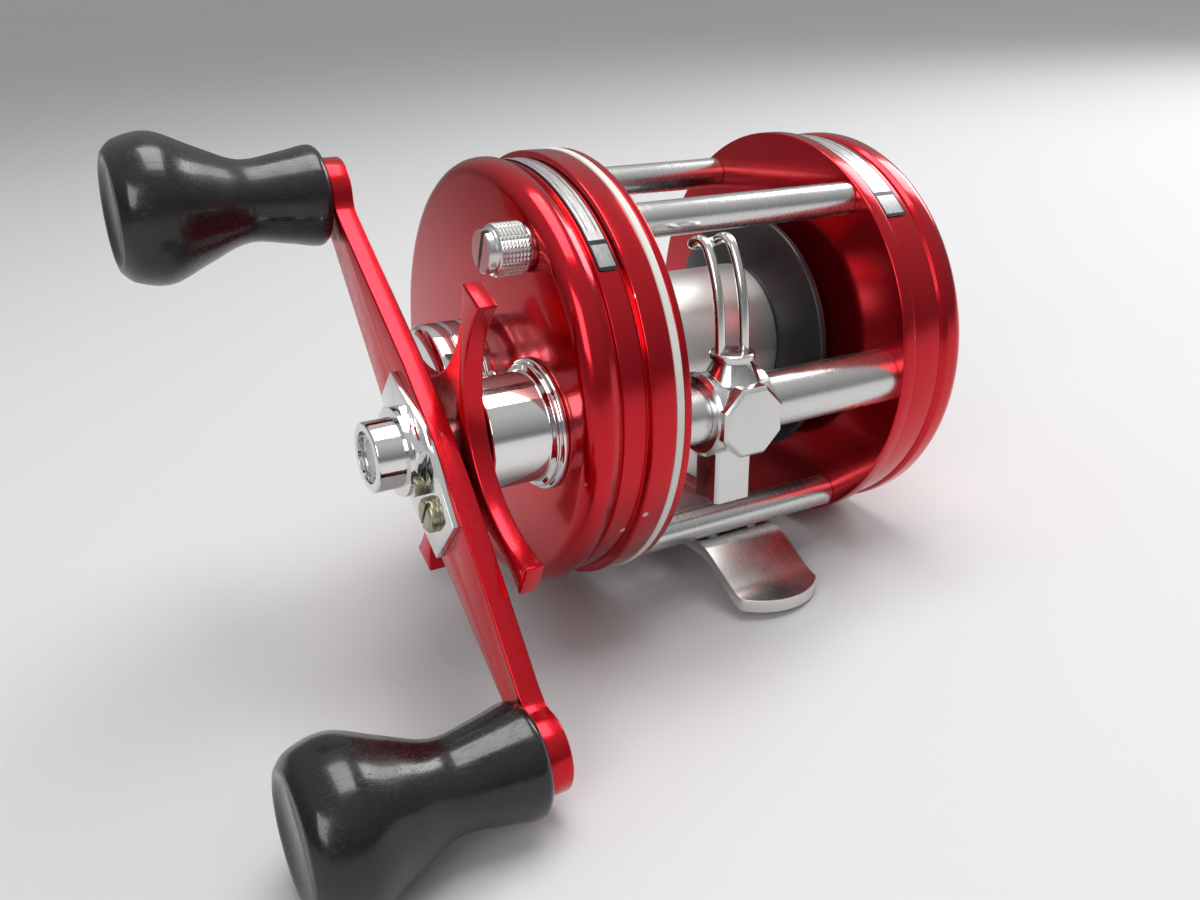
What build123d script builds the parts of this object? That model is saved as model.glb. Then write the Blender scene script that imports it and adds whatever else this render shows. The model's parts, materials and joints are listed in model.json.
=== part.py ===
from build123d import *

import os
from math import acos, asin, atan2, cos, degrees, hypot, pi, radians, sin, sqrt, tan

# Round baitcasting reel, drawn in millimetres.
#
# X runs along the spool axis with the handle on -X, the line leaves towards -Y, and +Z is up.
# Pieces are drawn about the spool axis and lifted at the end, so that the origin lies on the
# underside of the foot, midway between the side plates. Angles are measured from +Y towards +Z.

# Overall sizes
side_radius = 27.0
plate_gap = 32.0
handle_spacing = 70.6
handle_direction = 42.5

# Clearances
fit_gap = 0.03
running_gap = 0.05
free_gap = 0.2

# Frame
ring_thickness = 1.0
left_plate_thickness = 2.0
spacer_width = 1.0
spacer_wall = 0.7
spacer_proud = 0.1
spool_hole_margin = 1.2
pillar_radius = 2.1
pillar_margin = 0.32
pillar_spread = 14.0
pillar_screw_radius = 0.8
pillar_screw_head = 1.5
pillar_screw_head_height = 0.6
pillar_screw_reach = 4.0
tube_radius = 3.4
tube_bore = 2.6

# Gear train: an involute set with stub teeth
gear_module = 0.5
pressure_angle = radians(25)
addendum = 0.75 * gear_module
dedendum = 0.95 * gear_module
backlash = 0.05
drive_teeth = 43
pinion_teeth = 14
cog_teeth = 26
worm_teeth = 9
drive_direction = 186.85
worm_direction = 175.4

# Foot
foot_width = 12.2
foot_thickness = 1.67
foot_pad_half = 16.5
foot_drop = 4.0
foot_land_start = 24.0
foot_length = 55.0
foot_corner_length = 49.4
rivet_radius = 0.9
rivet_spacing = 6.4

# Spool
drum_radius = 9.8
spool_end_gap = 3.2
flange_radius = 16.4
flange_rise = 1.8
flange_rim = 1.0
drum_spigot = 4.0
spool_shaft_radius = 1.5
bearing_radius = 4.0
bearing_width = 3.0

# Right side cover, as depths outward from the frame ring's inner face
gear_plate_thickness = 0.8
cover_wall = 1.2
cover_step_depth = 5.2
cover_band_depth = 8.2
cover_depth = 12.7
band_drop = 1.0
bead_drop = 0.4
groove_width = 0.5
groove_drop = 0.35
cover_corner = 2.0
label_thickness = 0.15
label_margin = 0.3

# Left side cover, as depths outward from the left plate's inner face
left_band_depth = 6.8
left_cover_depth = 11.2
left_band_drop = 0.8
left_bead_drop = 0.5
left_corner = 1.8

# Drive shaft and the parts stacked along it
shaft_radius = 2.4
shaft_end_radius = 2.0
journal_radius = 1.5
cog_width = 1.05
gear_width = 1.4
gear_windows = 6
gear_web = 0.8
washer_radius = 6.5
washer_thickness = 0.3
ratchet_radius = 6.2
ratchet_root = 5.2
ratchet_teeth = 12
ratchet_width = 1.1
spring_radius = 5.0
spring_thickness = 0.5
sleeve_radius = 3.0
boss_radius = 6.4
boss_flange_radius = 7.7
boss_flange_thickness = 1.2
boss_length = 8.7
boss_wall_step = 0.57

# Star, handle and knobs
star_gap = 0.8
star_thickness = 2.2
star_radius = 20.7
star_tip_width = 4.2
star_bay_radius = 7.4
star_sweep = 0.0
star_direction = 26.0
arm_gap = 0.8
arm_thickness = 2.5
arm_half_width = 5.3
arm_shoulder = 8.0
arm_neck_half = 2.35
arm_lug_radius = 4.3
nut_plate_thickness = 0.8
nut_across_flats = 9.8
nut_hex_height = 1.8
nut_collar_radius = 3.9
nut_collar_height = 3.1
plate_screw_offset = 8.0
plate_screw_radius = 1.95
knob_length = 23.6
knob_small_radius = 5.9
knob_waist_radius = 4.75
knob_big_radius = 8.4
knob_end_radius = 6.4
spindle_radius = 1.5
spindle_head_radius = 2.3

# Tension cap and bearing boss
neck_radius = 6.3
neck_length = 7.5
cap_radius = 7.6
cap_start = 1.6
cap_end_wall = 0.6

# Thumb screws
thumb_radius = 3.0
thumb_length = 5.3
thumb_shaft_radius = 1.0
thumb_direction = 122.9
thumb_margin = 5.1

# Line guide
carriage_rest = -8.4
carriage_width = 8.6
carriage_radius = 5.0
carriage_travel = 11.0
boss_front_radius = 4.4
boss_front_reach = 5.73
ferrule_radius = 2.65
ferrule_waist = 2.3
ferrule_base = 3.4
ferrule_collar = 0.8
ferrule_top = 7.3
pawl_box = (5.1, 4.5)
wire_radius = 0.6
wire_spacing = 3.4
worm_radius = 2.2
worm_journal = 1.0
pawl_radius = 1.6

# Controls
button_direction = 40.0
button_width = 2.6
button_length = 9.0
button_rise = 2.6
click_radius = 3.0
click_drop = 12.0
click_travel = 3.0

# Values worked out from the sizes above
drum_half = plate_gap / 2 - spool_end_gap - flange_rim - flange_rise
cavity_radius = side_radius - 1.25
spigot_radius = side_radius + spacer_proud - spacer_wall - fit_gap
pillar_circle = side_radius - pillar_radius - pillar_margin
pillar_rise = sqrt(pillar_circle**2 - pillar_spread**2)
axis_height = pillar_rise + pillar_radius + fit_gap + foot_thickness
spool_hole = flange_radius + spool_hole_margin
plate_depth = ring_thickness + gear_plate_thickness
cog_start = plate_depth + 0.15
gear_start = cog_start + cog_width + free_gap
washer_start = gear_start + gear_width
ratchet_start = washer_start + washer_thickness
spring_start = ratchet_start + ratchet_width
sleeve_start = spring_start + 4 * spring_thickness
boss_end = cover_depth + boss_length
star_start = boss_end + star_gap
arm_start = star_start + star_thickness + arm_gap
nut_plate_start = arm_start + arm_thickness
nut_start = nut_plate_start + nut_plate_thickness
nut_end = nut_start + nut_hex_height + nut_collar_height
knob_start = nut_plate_start + free_gap
neck_end = cover_depth + neck_length
bearing_start = neck_end - bearing_width - 2.2
inner_face_depth = cover_depth - cover_wall


def right(depth):
    """X at a depth outward from the inner face of the handle-side frame ring."""
    return -plate_gap / 2 - depth


def left(depth):
    """X at a depth outward from the inner face of the left frame plate."""
    return plate_gap / 2 + depth


def polar(radius, angle, centre=(0, 0)):
    """The (y, z) point at a radius and angle about a centre."""
    return centre[0] + radius * cos(radians(angle)), centre[1] + radius * sin(radians(angle))


drive_axis = polar(gear_module * (drive_teeth + pinion_teeth) / 2, drive_direction)
worm_axis = polar(gear_module * (cog_teeth + worm_teeth) / 2, worm_direction, drive_axis)
knob_axes = {
    "knob_top": polar(handle_spacing / 2, handle_direction, drive_axis),
    "knob_bottom": polar(-handle_spacing / 2, handle_direction, drive_axis),
}
thumb_circle = side_radius - thumb_margin
thumb_axes = {
    "thumb_screw_upper": polar(thumb_circle, thumb_direction),
    "thumb_screw_lower": polar(-thumb_circle, thumb_direction),
}
pillar_points = [(y, z) for y in (-pillar_spread, pillar_spread) for z in (-pillar_rise, pillar_rise)]
cover_post_angles = (75, -15, -105)
cover_post_circle = side_radius - 5.0
left_screw_angles = (90, 210, 330)
left_screw_circle = side_radius - 6.0
yoke_posts = [(0, 9.5), (0, -9.5)]
dog_axis = polar(15.1, 57.3, drive_axis)


def rod(radius, x_start, x_end, at=(0, 0)):
    """A cylinder along X between two stations, centred on the (y, z) point."""
    centre = Pos((x_start + x_end) / 2, *at)
    return centre * Rot(0, 90, 0) * Cylinder(radius, abs(x_end - x_start))


def tube(outer, inner, x_start, x_end, at=(0, 0)):
    """A hollow cylinder along X."""
    return rod(outer, x_start, x_end, at) - rod(inner, x_start, x_end, at)


def turned(points, at=(0, 0)):
    """A closed profile of (x, radius) or (x, radius, rounding) points, turned about an X line."""
    profile = Polygon(*[point[:2] for point in points], align=None)
    for x, radius, rounding in (point for point in points if len(point) == 3):
        corner = profile.vertices().sort_by_distance((x, radius))[0]
        profile = fillet(corner, rounding)
    return Pos(0, *at) * revolve(Plane.XZ * profile, Axis.X)


def slab(sketch, x_start, x_end, at=(0, 0)):
    """A sketch in (y, z), made solid between two X stations and moved to the (y, z) point."""
    solid = extrude(Plane.YZ * sketch, amount=abs(x_end - x_start), dir=(1, 0, 0))
    return Pos(min(x_start, x_end), *at) * solid


def block(x_span, y_span, z_span):
    """A box given by its extent along each axis."""
    spans = (x_span, y_span, z_span)
    return Pos(*[sum(span) / 2 for span in spans]) * Box(*[abs(b - a) for a, b in spans])


def gear_outline(teeth, phase):
    """An involute gear with one tooth centred on the phase angle."""
    pitch = gear_module * teeth / 2
    base = pitch * cos(pressure_angle)
    tip = pitch + addendum
    root = pitch - dedendum
    half_tooth = pi / (2 * teeth) - backlash / (2 * pitch)

    def half_angle(radius):
        roll = acos(min(1, base / radius))
        return half_tooth + tan(pressure_angle) - pressure_angle - tan(roll) + roll

    start = max(base, root)
    flank = [(start + (tip - start) * step / 3) for step in range(4)]
    side = [(radius, half_angle(radius)) for radius in flank]
    if root < base:
        side.insert(0, (root, half_angle(start)))
    outline = []
    for tooth in range(teeth):
        middle = radians(phase) + 2 * pi * tooth / teeth
        for radius, angle in side:
            outline.append((radius * cos(middle - angle), radius * sin(middle - angle)))
        for radius, angle in reversed(side):
            outline.append((radius * cos(middle + angle), radius * sin(middle + angle)))
    return Polygon(*outline, align=None)


def saw_outline(tip, root, teeth):
    """A ratchet outline with one steep and one sloping side to each tooth."""
    pitch = 360 / teeth
    outline = []
    for tooth in range(teeth):
        outline.append(polar(root, pitch * tooth))
        outline.append(polar(tip, pitch * (tooth + 0.15)))
    return Polygon(*outline, align=None)


def save(name, shape):
    """Lifts a piece from the spool axis to the foot's frame and writes it."""
    lifted = Pos(0, 0, axis_height) * shape
    export_step(lifted, f"parts/{name}.step")


def group(solids):
    """Separate solids kept together in one node."""
    return Compound([solid for piece in solids for solid in piece.solids()])


# Frame


def right_frame_ring():
    ring = tube(side_radius, spool_hole, right(0), right(ring_thickness))
    spigot_end = right(ring_thickness + spacer_width)
    ring += tube(spigot_radius, cavity_radius - 0.15, right(ring_thickness), spigot_end)
    for at in pillar_points:
        ring -= rod(pillar_screw_radius + fit_gap, right(0), right(ring_thickness), at)
        head_start = right(ring_thickness - pillar_screw_head_height)
        ring -= rod(pillar_screw_head + fit_gap, head_start, right(ring_thickness), at)
    ring -= rod(worm_journal + 1.0, right(0), right(ring_thickness), worm_axis)
    for at in thumb_axes.values():
        ring -= rod(thumb_shaft_radius + running_gap, right(0), right(ring_thickness), at)
    return ring


def left_frame_plate():
    plate = rod(side_radius, left(0), left(left_plate_thickness))
    bearing_seat = left(left_plate_thickness + bearing_width + 0.2)
    plate += rod(bearing_radius + 1.4, left(left_plate_thickness), bearing_seat)
    for angle in left_screw_angles:
        at = polar(left_screw_circle, angle)
        post_end = left(left_cover_depth - cover_wall)
        plate += rod(1.8, left(left_plate_thickness), post_end, at)
        plate -= rod(pillar_screw_radius + fit_gap, left(left_plate_thickness), post_end, at)
    plate -= rod(bearing_radius + fit_gap, left(left_plate_thickness), bearing_seat)
    plate -= rod(spool_shaft_radius + free_gap, left(0), left(left_plate_thickness))
    for at in pillar_points:
        plate -= rod(pillar_screw_radius + fit_gap, left(0), left(left_plate_thickness), at)
        head_start = left(left_plate_thickness - pillar_screw_head_height)
        plate -= rod(pillar_screw_head + fit_gap, head_start, left(left_plate_thickness), at)
    plate -= rod(worm_journal + 1.0, left(0), left(1.4), worm_axis)
    return plate


def pillars(height):
    """The two pillars at one height, drilled at each end for their screws."""
    result = []
    for y in (-pillar_spread, pillar_spread):
        pillar = rod(pillar_radius, right(0), left(0), (y, height))
        for start, inward in ((right(0), 1), (left(0), -1)):
            drill_end = start + inward * (pillar_screw_reach + 0.2)
            pillar -= rod(pillar_screw_radius + fit_gap, start, drill_end, (y, height))
        if height < 0:
            for x in (-rivet_spacing / 2, rivet_spacing / 2):
                pillar -= Pos(x, y, height) * Cylinder(rivet_radius + fit_gap, 3 * pillar_radius)
        result.append(pillar)
    return result


def pillar_screws():
    result = []
    for at in pillar_points:
        for face, thickness in ((right, ring_thickness), (left, left_plate_thickness)):
            head = face(thickness - pillar_screw_head_height)
            screw = rod(pillar_screw_head, head, face(thickness), at)
            screw += rod(pillar_screw_radius, head, face(-pillar_screw_reach), at)
            slot = Pos(face(thickness), *at) * Box(0.5, 0.5, 2 * pillar_screw_head)
            result.append(screw - slot)
    return result


def level_wind_tube():
    body = tube(tube_radius, tube_bore, right(0), left(0), worm_axis)
    reach = carriage_travel + pawl_radius + 0.4
    y, z = worm_axis
    half = pawl_radius + 0.1
    return body - block((-reach, reach), (y - half, y + half), (z - tube_radius - 1, z))


def foot_top(y):
    """Height of the foot's upper face at the flat pad or on the end lands."""
    pad_top = -pillar_rise - pillar_radius - fit_gap
    return pad_top if abs(y) < foot_pad_half else pad_top - foot_drop


def reel_foot():
    half = foot_length / 2
    stations = (-half, -foot_land_start, -foot_pad_half + 0.01, foot_pad_half - 0.01, foot_land_start, half)
    upper = [(y, foot_top(y)) for y in stations]
    top_line = FilletPolyline(*upper, radius=6)
    lower = [(y, z - foot_thickness) for y, z in upper]
    bottom_line = FilletPolyline(*lower, radius=6)
    ends = [Line(upper[0], lower[0]), Line(upper[-1], lower[-1])]
    section = make_face([*top_line.edges(), *bottom_line.edges(), *ends])
    foot = slab(section, -foot_width / 2, foot_width / 2)
    corner = foot_corner_length / 2
    plan_x = foot_width / 2
    sides = [Line((x, -corner), (x, corner)) for x in (-plan_x, plan_x)]
    arcs = [ThreePointArc((-plan_x, s * corner), (0, s * half), (plan_x, s * corner)) for s in (-1, 1)]
    plan = fillet(make_face([*sides, *arcs]).vertices(), 0.8)
    foot &= Pos(0, 0, -axis_height - 2 * foot_drop) * extrude(plan, amount=axis_height)
    for x, y in rivet_points():
        foot -= Pos(x, y, foot_top(0)) * Cylinder(rivet_radius + fit_gap, 4 * foot_thickness)
    return foot


def rivet_points():
    return [(x, y) for x in (-rivet_spacing / 2, rivet_spacing / 2) for y in (-pillar_spread, pillar_spread)]


def foot_rivets():
    bottom = -axis_height
    length = foot_thickness + fit_gap + 2 * pillar_radius - 0.6
    return [Pos(x, y, bottom + length / 2) * Cylinder(rivet_radius, length) for x, y in rivet_points()]


def spacer_ring():
    outer = side_radius + spacer_proud
    return tube(outer, outer - spacer_wall, right(ring_thickness), right(ring_thickness + spacer_width))


# Right side


def right_side_cover():
    start = ring_thickness + spacer_width
    band = side_radius - band_drop
    bead = side_radius - bead_drop
    inner = side_radius - band_drop - cover_wall - 0.1
    groove_end = cover_band_depth + groove_width
    cover = turned([
        (right(start), cavity_radius),
        (right(start), side_radius, 0.2),
        (right(cover_step_depth), side_radius, 0.3),
        (right(cover_step_depth), band),
        (right(cover_band_depth), band),
        (right(cover_band_depth + groove_width / 2), band - groove_drop),
        (right(groove_end), band),
        (right(groove_end + 1.2), bead, 1.0),
        (right(cover_depth), bead, cover_corner),
        (right(cover_depth), 0),
        (right(inner_face_depth), 0),
        (right(inner_face_depth), inner, 0.8),
        (right(cover_step_depth - 0.4), inner),
        (right(cover_step_depth - 0.4), cavity_radius),
    ])
    for angle in cover_post_angles:
        at = polar(cover_post_circle, angle)
        cover += rod(1.8, right(plate_depth), right(inner_face_depth), at)
        cover -= rod(pillar_screw_radius + fit_gap, right(plate_depth), right(plate_depth + 4.5), at)
    for at in ((0, 0), drive_axis):
        cover -= rod(5.0 + fit_gap, right(cover_depth), right(inner_face_depth), at)
    for at in thumb_axes.values():
        cover -= rod(thumb_shaft_radius + running_gap, right(cover_depth), right(inner_face_depth), at)
    return cover - button_shape(button_length + 0.3, button_width + 0.3, side_radius - 4, side_radius + 4)


def foil_label(x_start, x_end, radius, low_angle, high_angle):
    """A thin curved plate round part of a band; the angles are measured up from the front."""
    inner = radius + 0.02
    outline = Circle(inner + label_thickness) - Circle(inner)
    reach = 2 * radius
    middle = 180 - (low_angle + high_angle) / 2
    half_span = (high_angle - low_angle) / 2
    wedge = Polygon(
        (0, 0),
        polar(reach, middle - half_span),
        polar(reach, middle),
        polar(reach, middle + half_span),
        align=None,
    )
    label = slab(outline & wedge, x_start, x_end)
    corners = label.edges().filter_by(lambda edge: abs(edge.length - label_thickness) < 0.02)
    return fillet(corners, 0.5)


def gear_plate():
    plate = rod(cavity_radius - 0.25, right(ring_thickness), right(plate_depth))
    plate += rod(2.8, right(0.2), right(ring_thickness), drive_axis)
    plate -= rod(journal_radius + running_gap, right(0.2), right(plate_depth), drive_axis)
    plate -= rod(3.2, right(ring_thickness), right(plate_depth))
    plate -= rod(worm_journal + 1.0, right(ring_thickness), right(plate_depth), worm_axis)
    for at in thumb_axes.values():
        plate -= rod(thumb_shaft_radius + running_gap, right(ring_thickness), right(plate_depth), at)
    for angle in cover_post_angles:
        at = polar(cover_post_circle, angle)
        plate -= rod(pillar_screw_radius + fit_gap, right(ring_thickness), right(plate_depth), at)
        plate -= rod(pillar_screw_head + fit_gap, right(ring_thickness), right(ring_thickness + 0.5), at)
    for at in yoke_posts:
        plate += rod(0.9, right(plate_depth), right(inner_face_depth - 0.6), at)
    return plate + rod(0.9, right(plate_depth), right(ratchet_start + 1.4), dog_axis)


def gear_plate_screws():
    result = []
    for angle in cover_post_angles:
        at = polar(cover_post_circle, angle)
        screw = rod(pillar_screw_head, right(ring_thickness), right(ring_thickness + 0.5), at)
        result.append(screw + rod(pillar_screw_radius, right(ring_thickness), right(plate_depth + 4), at))
    return result


def bearing_boss():
    bore = spool_shaft_radius + free_gap
    return turned([
        (right(inner_face_depth - 0.3), bore),
        (right(inner_face_depth - 0.3), 5.0),
        (right(cover_depth), 5.0),
        (right(cover_depth), neck_radius),
        (right(neck_end), neck_radius, 0.3),
        (right(neck_end), bearing_radius + fit_gap),
        (right(bearing_start), bearing_radius + fit_gap),
        (right(bearing_start), bore),
    ])


def drive_boss():
    bore = sleeve_radius + running_gap + boss_wall_step
    flange_end = cover_depth + boss_flange_thickness
    return turned([
        (right(inner_face_depth - 0.2), bore),
        (right(inner_face_depth - 0.2), 5.0),
        (right(cover_depth), 5.0),
        (right(cover_depth), boss_flange_radius, 0.3),
        (right(flange_end), boss_flange_radius, 0.5),
        (right(flange_end), boss_radius, 0.5),
        (right(boss_end), boss_radius, 0.4),
        (right(boss_end), bore),
    ], drive_axis)


def drive_bushing():
    inner = sleeve_radius + running_gap
    outer = inner + boss_wall_step - fit_gap
    return tube(outer, inner, right(inner_face_depth), right(boss_end - 0.2), drive_axis)


def ball_bearing(x_start, x_end):
    """A shielded bearing drawn as one ring with a groove in each face."""
    body = tube(bearing_radius, spool_shaft_radius + fit_gap, x_start, x_end)
    for x in (x_start, x_end):
        body -= tube(3.2, 2.3, x - 0.25, x + 0.25)
    return body


def brake_ring():
    return tube(8.0, 7.0, right(-1.0), right(ring_thickness))


def worm_bushings():
    outer = worm_journal + 1.0 - fit_gap
    bore = worm_journal + running_gap
    return [
        tube(outer, bore, right(0), right(plate_depth), worm_axis),
        tube(outer, bore, left(0), left(1.4), worm_axis),
    ]


# Left side


def left_side_cover():
    start = left_plate_thickness
    band = side_radius - left_band_drop
    bead = side_radius - left_bead_drop
    inner = band - cover_wall
    groove_end = left_band_depth + groove_width
    inner_face = left_cover_depth - cover_wall
    cover = turned([
        (left(start), inner),
        (left(start), band),
        (left(left_band_depth), band),
        (left(left_band_depth + groove_width / 2), band - groove_drop),
        (left(groove_end), band),
        (left(groove_end + 0.6), bead, 0.5),
        (left(left_cover_depth), bead, left_corner),
        (left(left_cover_depth), 0),
        (left(inner_face), 0),
        (left(inner_face), inner, 0.8),
    ])
    for angle in left_screw_angles:
        at = polar(left_screw_circle, angle)
        cover -= rod(pillar_screw_radius + fit_gap, left(inner_face), left(left_cover_depth), at)
    return cover - click_slot(click_travel + 0.3, inner_face - 0.1, left_cover_depth + 0.1, 1.25)


def left_cover_screws():
    result = []
    for angle in left_screw_angles:
        at = polar(left_screw_circle, angle)
        screw = turned([
            (left(left_cover_depth), 0),
            (left(left_cover_depth), 2.0),
            (left(left_cover_depth + 0.9), 2.0, 0.5),
            (left(left_cover_depth + 0.9), 0),
        ], at)
        screw += rod(pillar_screw_radius, left(left_plate_thickness + 1), left(left_cover_depth), at)
        result.append(screw - Pos(left(left_cover_depth + 0.9), *at) * Box(0.8, 0.5, 4.2))
    return result


def click_slot(length, depth_start, depth_end, half_width):
    """The rounded slot that the click button's stem runs in, rising from its rest place."""
    low = -click_drop - 0.15
    outline = Pos(0, low + length / 2) * SlotCenterToCenter(length, 2 * half_width, rotation=90)
    return slab(outline, left(depth_start), left(depth_end))


def click_button():
    face = left_cover_depth + 0.1
    head = turned([
        (left(face), 0),
        (left(face), click_radius),
        (left(face + 2), click_radius, 0.6),
        (left(face + 2), 0),
    ], (0, -click_drop))
    inner_end = left_cover_depth - cover_wall - 2.4
    return head + rod(1.1, left(inner_end), left(face), (0, -click_drop))


def click_pawl():
    """A pointed plate on the stem's inner end, aimed at the click wheel."""
    end = left_cover_depth - cover_wall - 2.4
    point = -5.0 - free_gap - click_travel
    outline = Polygon((-1.8, -click_drop - 2), (1.8, -click_drop - 2), (1.8, -click_drop + 1.6),
                      (0, point), (-1.8, -click_drop + 1.6), align=None)
    return slab(outline, left(end - 1.0), left(end))


# Handle


def drive_shaft():
    return turned([
        (right(0.2), 0),
        (right(0.2), journal_radius),
        (right(plate_depth + 0.05), journal_radius),
        (right(plate_depth + 0.05), shaft_radius),
        (right(arm_start), shaft_radius),
        (right(arm_start), shaft_end_radius),
        (right(nut_end - 0.5), shaft_end_radius, 0.3),
        (right(nut_end - 0.5), 0),
    ], drive_axis)


def on_shaft(outline, start, end):
    """A flat piece with a bore that fits the drive shaft."""
    return slab(outline - Circle(shaft_radius + fit_gap), right(start), right(end), drive_axis)


def drive_gear():
    phase = drive_direction - 180
    gear = on_shaft(gear_outline(drive_teeth, phase), gear_start, gear_start + gear_width)
    root = gear_module * drive_teeth / 2 - dedendum
    window_circle = (root + washer_radius) / 2
    window_radius = (root - washer_radius) / 2 - gear_web
    for window in range(gear_windows):
        at = polar(window_circle, 360 * window / gear_windows, drive_axis)
        gear -= rod(window_radius, right(gear_start), right(gear_start + gear_width), at)
    return gear


def level_wind_cog():
    return on_shaft(gear_outline(cog_teeth, worm_direction), cog_start, cog_start + cog_width)


def drag_washers():
    return [on_shaft(Circle(washer_radius), washer_start, washer_start + washer_thickness)]


def ratchet_wheel():
    outline = saw_outline(ratchet_radius, ratchet_root, ratchet_teeth)
    return on_shaft(outline, ratchet_start, ratchet_start + ratchet_width)


def drag_springs():
    """Four dished washers in two opposed pairs."""
    result = []
    bore = shaft_radius + fit_gap
    for index in range(4):
        start = spring_start + index * spring_thickness
        wide, narrow = (start, start + 0.2) if index % 2 == 0 else (start + 0.2, start)
        result.append(turned([
            (right(narrow), bore),
            (right(wide), spring_radius),
            (right(wide + 0.3), spring_radius),
            (right(narrow + 0.3), bore),
        ], drive_axis))
    return result


def drag_sleeve():
    inner = shaft_radius + fit_gap
    return tube(sleeve_radius, inner, right(sleeve_start), right(star_start), drive_axis)


def star_drag():
    """Four arms with round bays between them, so that each arm narrows before its tip."""
    half_tip = degrees(asin(star_tip_width / 2 / star_radius))
    edges = []
    for arm in range(0, 360, 90):
        tip_start = polar(star_radius, arm - half_tip)
        tip_end = polar(star_radius, arm + half_tip)
        next_start = polar(star_radius, arm + 90 - half_tip)
        edges.append(Line(tip_start, tip_end))
        edges.append(ThreePointArc(tip_end, polar(star_bay_radius, arm + 45 + star_sweep), next_start))
    star = Rot(0, 0, star_direction) * make_face(edges) - Circle(shaft_radius + running_gap)
    return slab(star, right(star_start), right(star_start + star_thickness), drive_axis)


def along_handle(distance, across=0.0):
    """The (y, z) point at a distance along the handle and across it, from the drive axis."""
    return polar(hypot(distance, across), handle_direction + degrees(atan2(across, distance)), drive_axis)


def handle_arm():
    """A flat arm, widest beside the shaft, with necks that lead into round lugs."""
    lug = handle_spacing / 2
    neck = lug - arm_lug_radius - 1.4
    outline = []
    for side in (-1, 1):
        half = [(neck, arm_neck_half), (arm_shoulder, arm_half_width - 0.3), (-1.0, arm_half_width)]
        half += [(-arm_shoulder, arm_half_width - 0.3), (-neck, arm_neck_half)]
        half = [(along, across * side) for along, across in half]
        outline += half if side > 0 else reversed(half)
    near_end = [(lug, -arm_neck_half), (lug, arm_neck_half)]
    far_end = [(-lug, arm_neck_half), (-lug, -arm_neck_half)]
    outline = [*outline[:5], *near_end, *outline[5:], *far_end]
    arm = Polygon(*outline, align=None)
    for side in (-1, 1):
        arm += Pos(side * lug, 0) * Circle(arm_lug_radius)
    roots = [v for v in arm.vertices() if neck < abs(v.X) < lug - 1]
    arm = fillet(roots, 2.0)
    for x, radius in ((lug, spindle_radius), (-lug, spindle_radius), (0, shaft_end_radius)):
        arm -= Pos(x, 0) * Circle(radius + fit_gap)
    arm -= Pos(-plate_screw_offset, 0) * Circle(1.0 + fit_gap)
    arm = Rot(0, 0, handle_direction) * arm
    return slab(arm, right(arm_start), right(nut_plate_start), drive_axis)


def nut_plate():
    """A six-sided plate under the nut, held from turning by its own screw."""
    corners = [(8.4, 2.6), (-0.5, 5.7), (-11.6, 3.9)]
    outline = [*corners, *[(along, -across) for along, across in reversed(corners)]]
    plate = Polygon(*outline, align=None) - Circle(shaft_end_radius + fit_gap)
    plate -= Pos(-plate_screw_offset, 0) * Circle(1.0 + fit_gap)
    turned_plate = Rot(0, 0, handle_direction) * plate
    return slab(turned_plate, right(nut_plate_start), right(nut_start), drive_axis)


def handle_nut():
    hexagon = RegularPolygon(nut_across_flats / 2, 6, major_radius=False, rotation=handle_direction)
    collar_start = nut_start + nut_hex_height
    nut = slab(hexagon, right(nut_start), right(collar_start), drive_axis)
    crown = turned([
        (right(nut_start), 0),
        (right(nut_start), nut_across_flats / 2 + 0.1),
        (right(collar_start), nut_across_flats / 2 + 0.1),
        (right(collar_start), 0),
    ], drive_axis)
    nut &= crown + rod(nut_across_flats, right(nut_start), right(collar_start - 0.5), drive_axis)
    nut += turned([
        (right(collar_start), 0),
        (right(collar_start), nut_collar_radius),
        (right(nut_end), nut_collar_radius, 0.3),
        (right(nut_end), 0),
    ], drive_axis)
    nut -= rod(shaft_end_radius + fit_gap, right(nut_start), right(nut_end), drive_axis)
    return nut - rod(nut_collar_radius - 1.0, right(nut_end - 0.8), right(nut_end), drive_axis)


def plate_screw():
    at = along_handle(-plate_screw_offset)
    head_end = nut_start + 1.1
    screw = turned([
        (right(arm_start + 0.5), 0),
        (right(arm_start + 0.5), 1.0),
        (right(nut_start), 1.0),
        (right(nut_start), plate_screw_radius),
        (right(head_end), plate_screw_radius, 0.6),
        (right(head_end), 0),
    ], at)
    slot = Rot(30, 0, 0) * Box(1.0, 0.5, 3 * plate_screw_radius)
    return screw - Pos(right(head_end), *at) * slot


def knob_spindles():
    head_start = knob_start + knob_length - 5.5
    result = []
    for at in knob_axes.values():
        spindle = rod(spindle_radius, right(arm_start), right(head_start), at)
        result.append(spindle + rod(spindle_head_radius, right(head_start), right(head_start + 1.2), at))
    return result


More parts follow.
